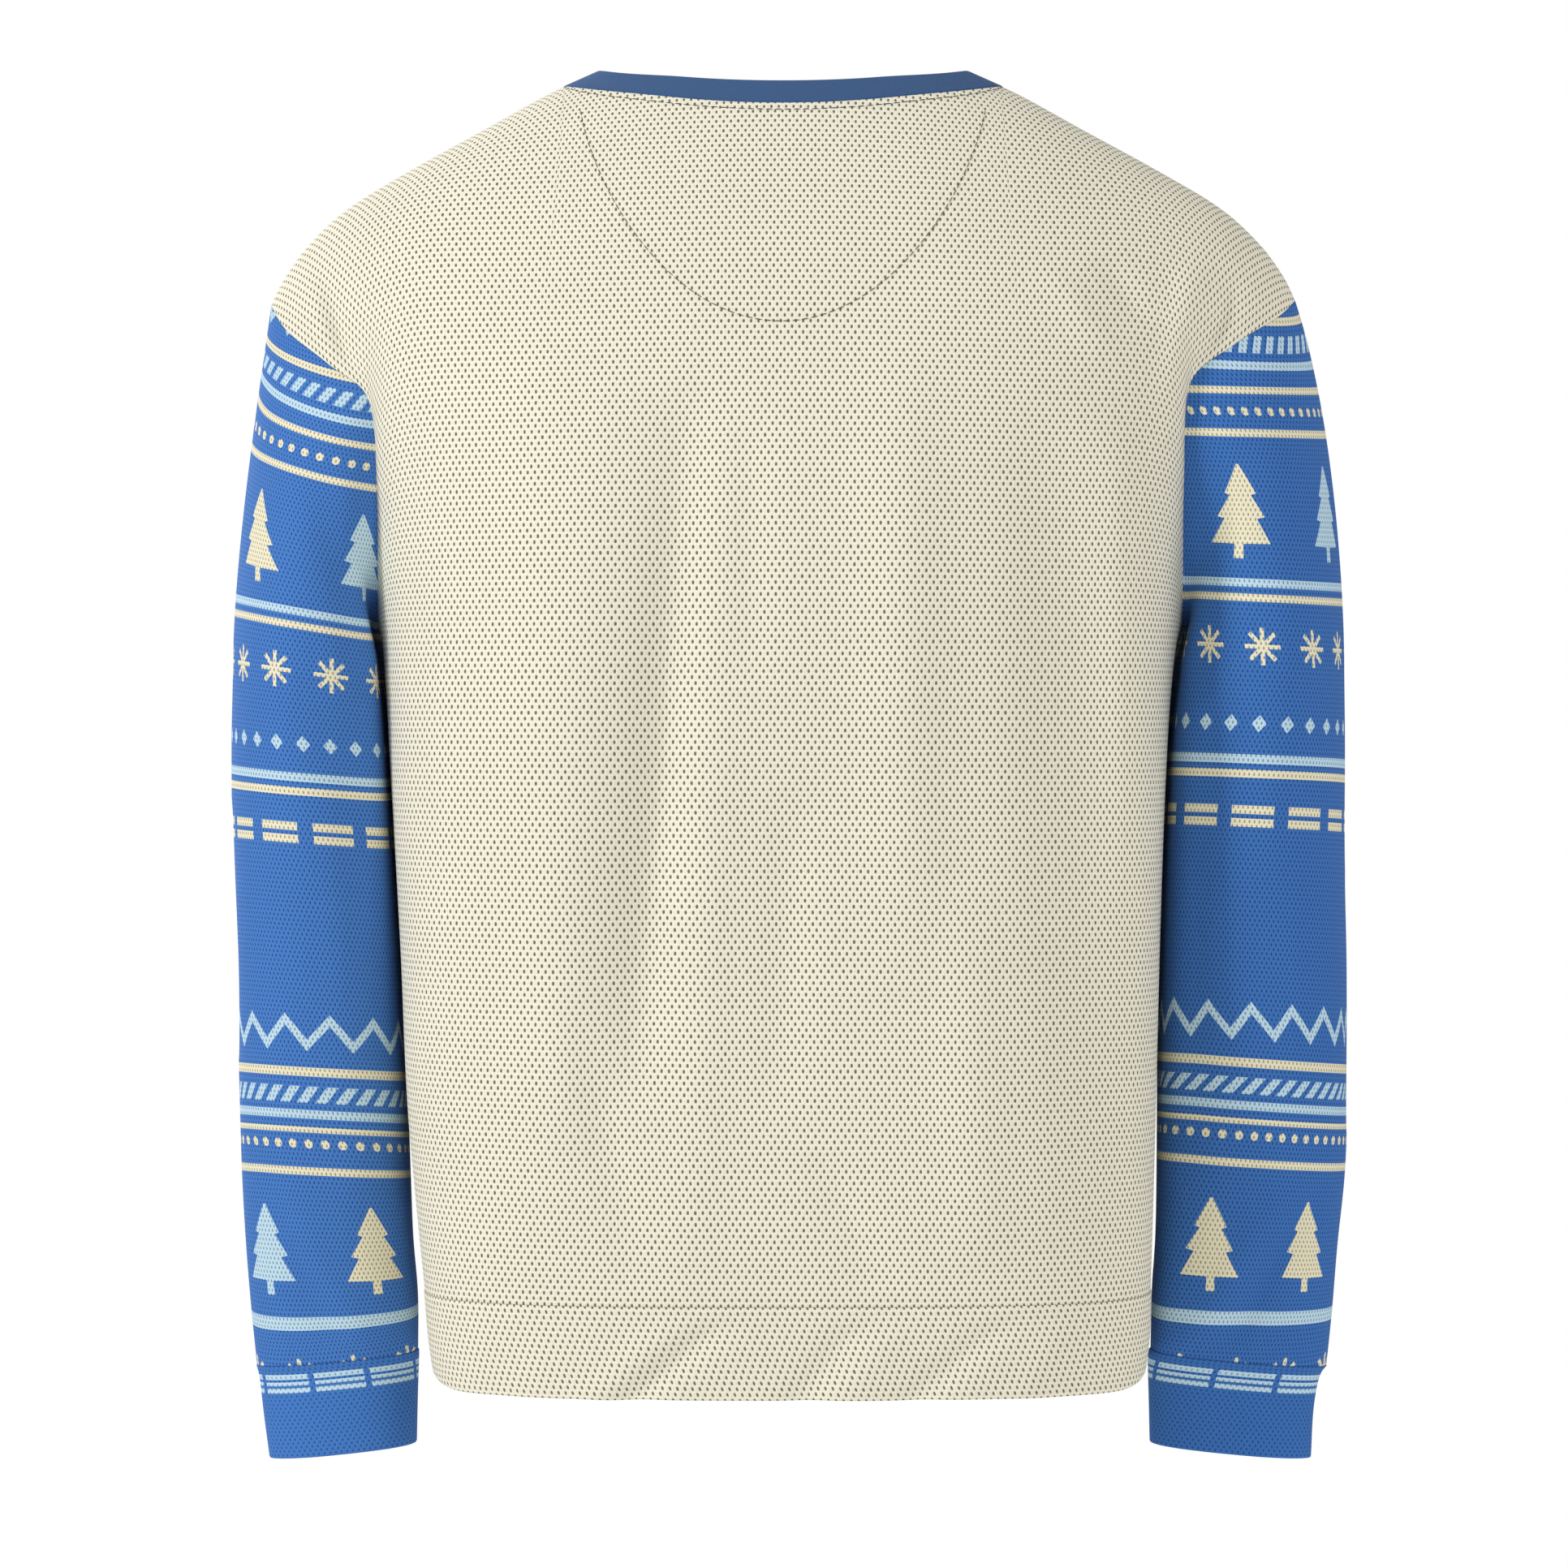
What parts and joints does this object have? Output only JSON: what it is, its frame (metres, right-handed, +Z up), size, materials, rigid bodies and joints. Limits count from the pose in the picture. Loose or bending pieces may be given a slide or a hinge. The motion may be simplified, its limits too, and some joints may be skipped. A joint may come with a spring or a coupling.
{
  "type": "sweatshirt",
  "caption": "Crew-neck sweatshirt with dropped shoulders, cream knit-look body, blue patterned sleeves and ribbed bands at neck, cuffs and waist, filled out as worn.",
  "frame": {"origin": "midway between the neck ends of the two shoulder seams and level with them, where the wearer's shoulders hold the garment up", "axes": "+Z up, +X towards the wearer's left, -Y towards the front"},
  "size_m": [0.598, 0.272, 0.7425],
  "materials": {
    "body_fleece": "matt cream jersey-faced fleece with a small woven-look speckle",
    "waistband_rib": "matt cream folded band with the same speckle",
    "sleeve_fleece": "matt blue fleece with a printed knit pattern in cream and light blue",
    "cuff_rib": "matt blue folded band with light-blue dashes along its top",
    "neck_rib": "matt steel-blue rib"
  },
  "bodies": {
    "root": {"back_panel": "body_fleece", "front_panel": "body_fleece", "half_moon_patch": "body_fleece", "waistband": "waistband_rib", "sleeve_left": "sleeve_fleece", "sleeve_right": "sleeve_fleece", "cuff_left": "cuff_rib", "cuff_right": "cuff_rib", "neck_rib": "neck_rib"}
  },
  "joints": []
}
